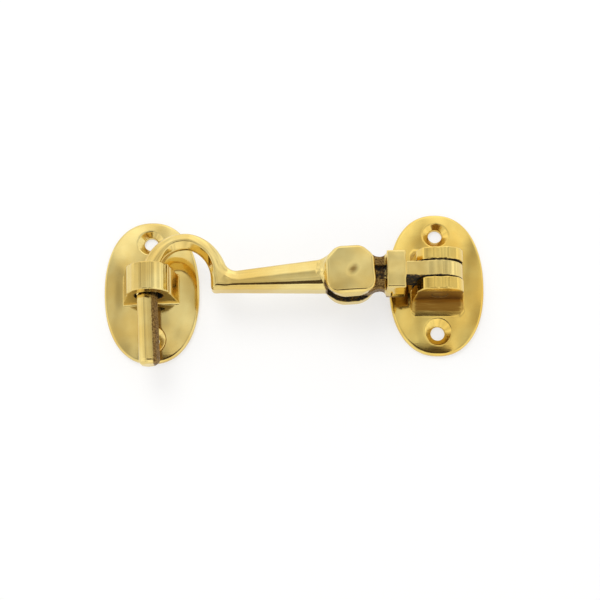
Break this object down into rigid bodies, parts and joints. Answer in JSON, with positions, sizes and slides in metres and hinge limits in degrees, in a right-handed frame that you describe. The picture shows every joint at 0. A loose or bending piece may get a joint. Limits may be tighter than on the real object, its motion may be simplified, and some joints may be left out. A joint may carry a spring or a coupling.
{
  "type": "hook and eye latch",
  "caption": "Polished brass cabin hook: a domed oval hinge plate carries a swivelling link and a gooseneck arm whose peg drops into the eye of a matching plate.",
  "frame": {"origin": "middle of the hinge plate's flat mounting face", "axes": "+Z out of the mounting face, -X from the hinge plate along the arm to the eye, +Y towards the top of the hook's arch"},
  "size_m": [0.1015, 0.0444, 0.0167],
  "materials": {
    "polished_brass": "cast and polished",
    "cast_brass": "as cast, partly polished",
    "drawn_brass": "drawn wire, dressed flush"
  },
  "bodies": {
    "hinge_plate": {"hinge_plate": "polished_brass", "hinge_pin": "drawn_brass"},
    "swivel_link": {"swivel_link": "cast_brass"},
    "hook_arm": {"hook_arm": "polished_brass", "pivot_rivet": "drawn_brass"},
    "eye_plate": {"eye_plate": "polished_brass"}
  },
  "joints": [
    {"name": "swing", "type": "hinge", "parent": "hinge_plate", "child": "swivel_link", "pos_m": [0, 0, 0.01], "axis": [0, 1, 0], "range_deg": [0, 180]},
    {"name": "lift", "type": "hinge", "parent": "swivel_link", "child": "hook_arm", "pos_m": [-0.0234, 0, 0.01], "axis": [0, 0, -1], "range_deg": [-90, 90]},
    {"name": "unhook", "type": "slide", "parent": "hook_arm", "child": "eye_plate", "axis": [0.0645, -0.9979, 0], "range_m": [0, 0.03]}
  ]
}
